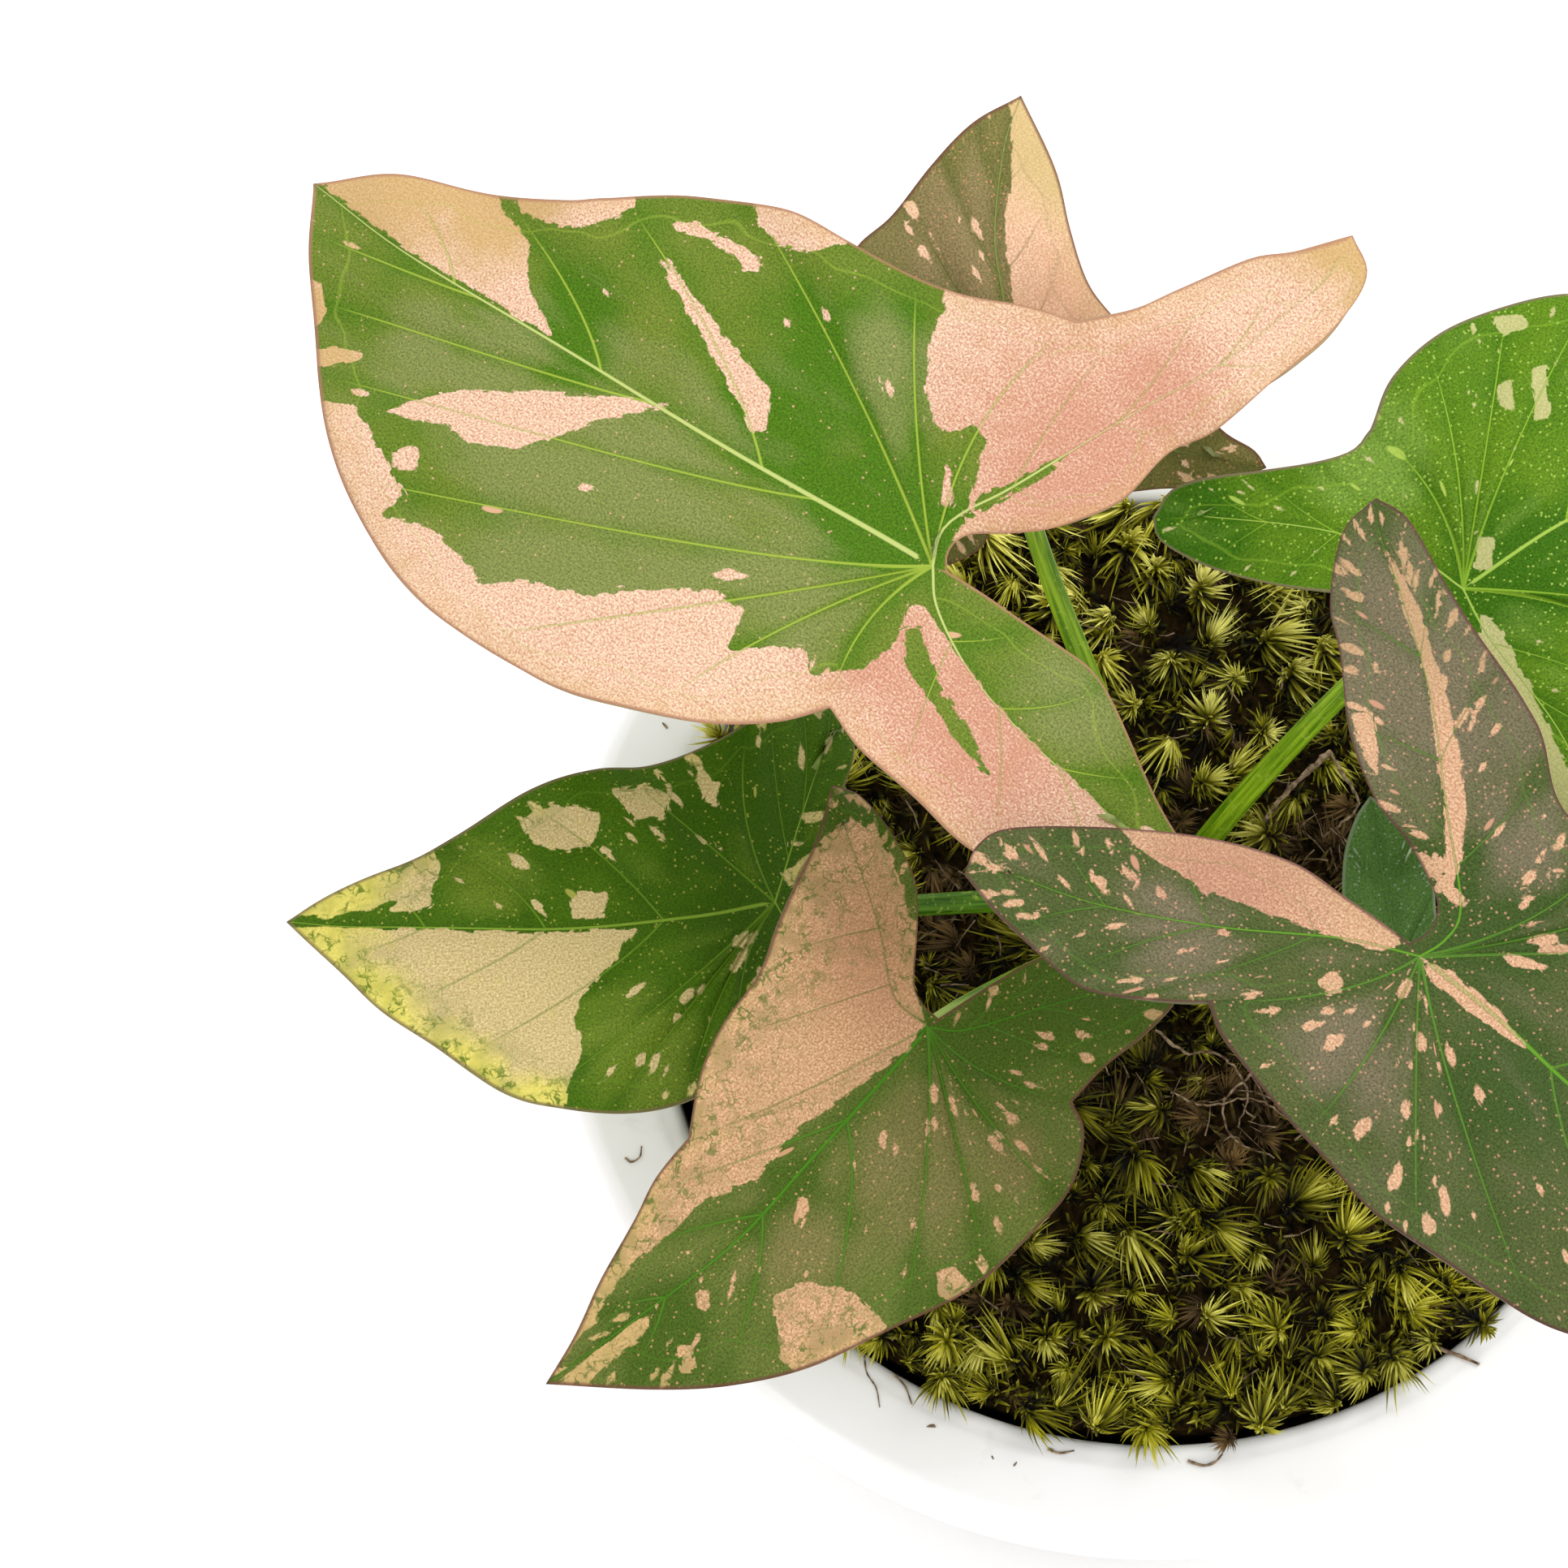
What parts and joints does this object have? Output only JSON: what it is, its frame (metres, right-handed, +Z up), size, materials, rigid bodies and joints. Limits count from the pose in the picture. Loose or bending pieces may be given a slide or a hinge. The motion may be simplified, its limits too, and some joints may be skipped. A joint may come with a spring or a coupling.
{
  "type": "arrowhead plant",
  "caption": "Arrowhead plant with broad pink and green arrow-shaped leaves on slim stalks, growing through a moss carpet in a round white pot.",
  "frame": {"origin": "centre of the pot's flat underside, where it rests", "axes": "+Z up along the pot's axis; +X to the right and +Y away from a viewer who sees the plant as in the picture"},
  "size_m": [0.1774, 0.1531, 0.2033],
  "materials": {
    "pot_glaze": "glossy white glaze",
    "potting_soil": "dark crumbly soil",
    "moss_green": "soft yellow-green moss",
    "stalk_green": "smooth fresh green",
    "leaf_a_skin": "satin leaf, green with pink patches",
    "leaf_b_skin": "satin leaf, olive brown with pink",
    "leaf_c_skin": "satin leaf, dark green with cream",
    "leaf_d_skin": "satin leaf, brown-green with pink",
    "leaf_e_skin": "satin leaf, dark olive with pink spots",
    "leaf_f_skin": "satin leaf, bright green with fine specks",
    "leaf_g_skin": "satin leaf, dark green with fine specks"
  },
  "bodies": {
    "root": {"pot": "pot_glaze", "soil": "potting_soil", "moss": "moss_green", "leaf_a": "leaf_a_skin", "leaf_b": "leaf_b_skin", "leaf_c": "leaf_c_skin", "leaf_d": "leaf_d_skin", "leaf_e": "leaf_e_skin", "leaf_f": "leaf_f_skin", "leaf_g": "leaf_g_skin", "petiole_a": "stalk_green", "petiole_b": "stalk_green", "petiole_c": "stalk_green", "petiole_d": "stalk_green", "petiole_e": "stalk_green", "petiole_f": "stalk_green", "petiole_g": "stalk_green"}
  },
  "joints": []
}
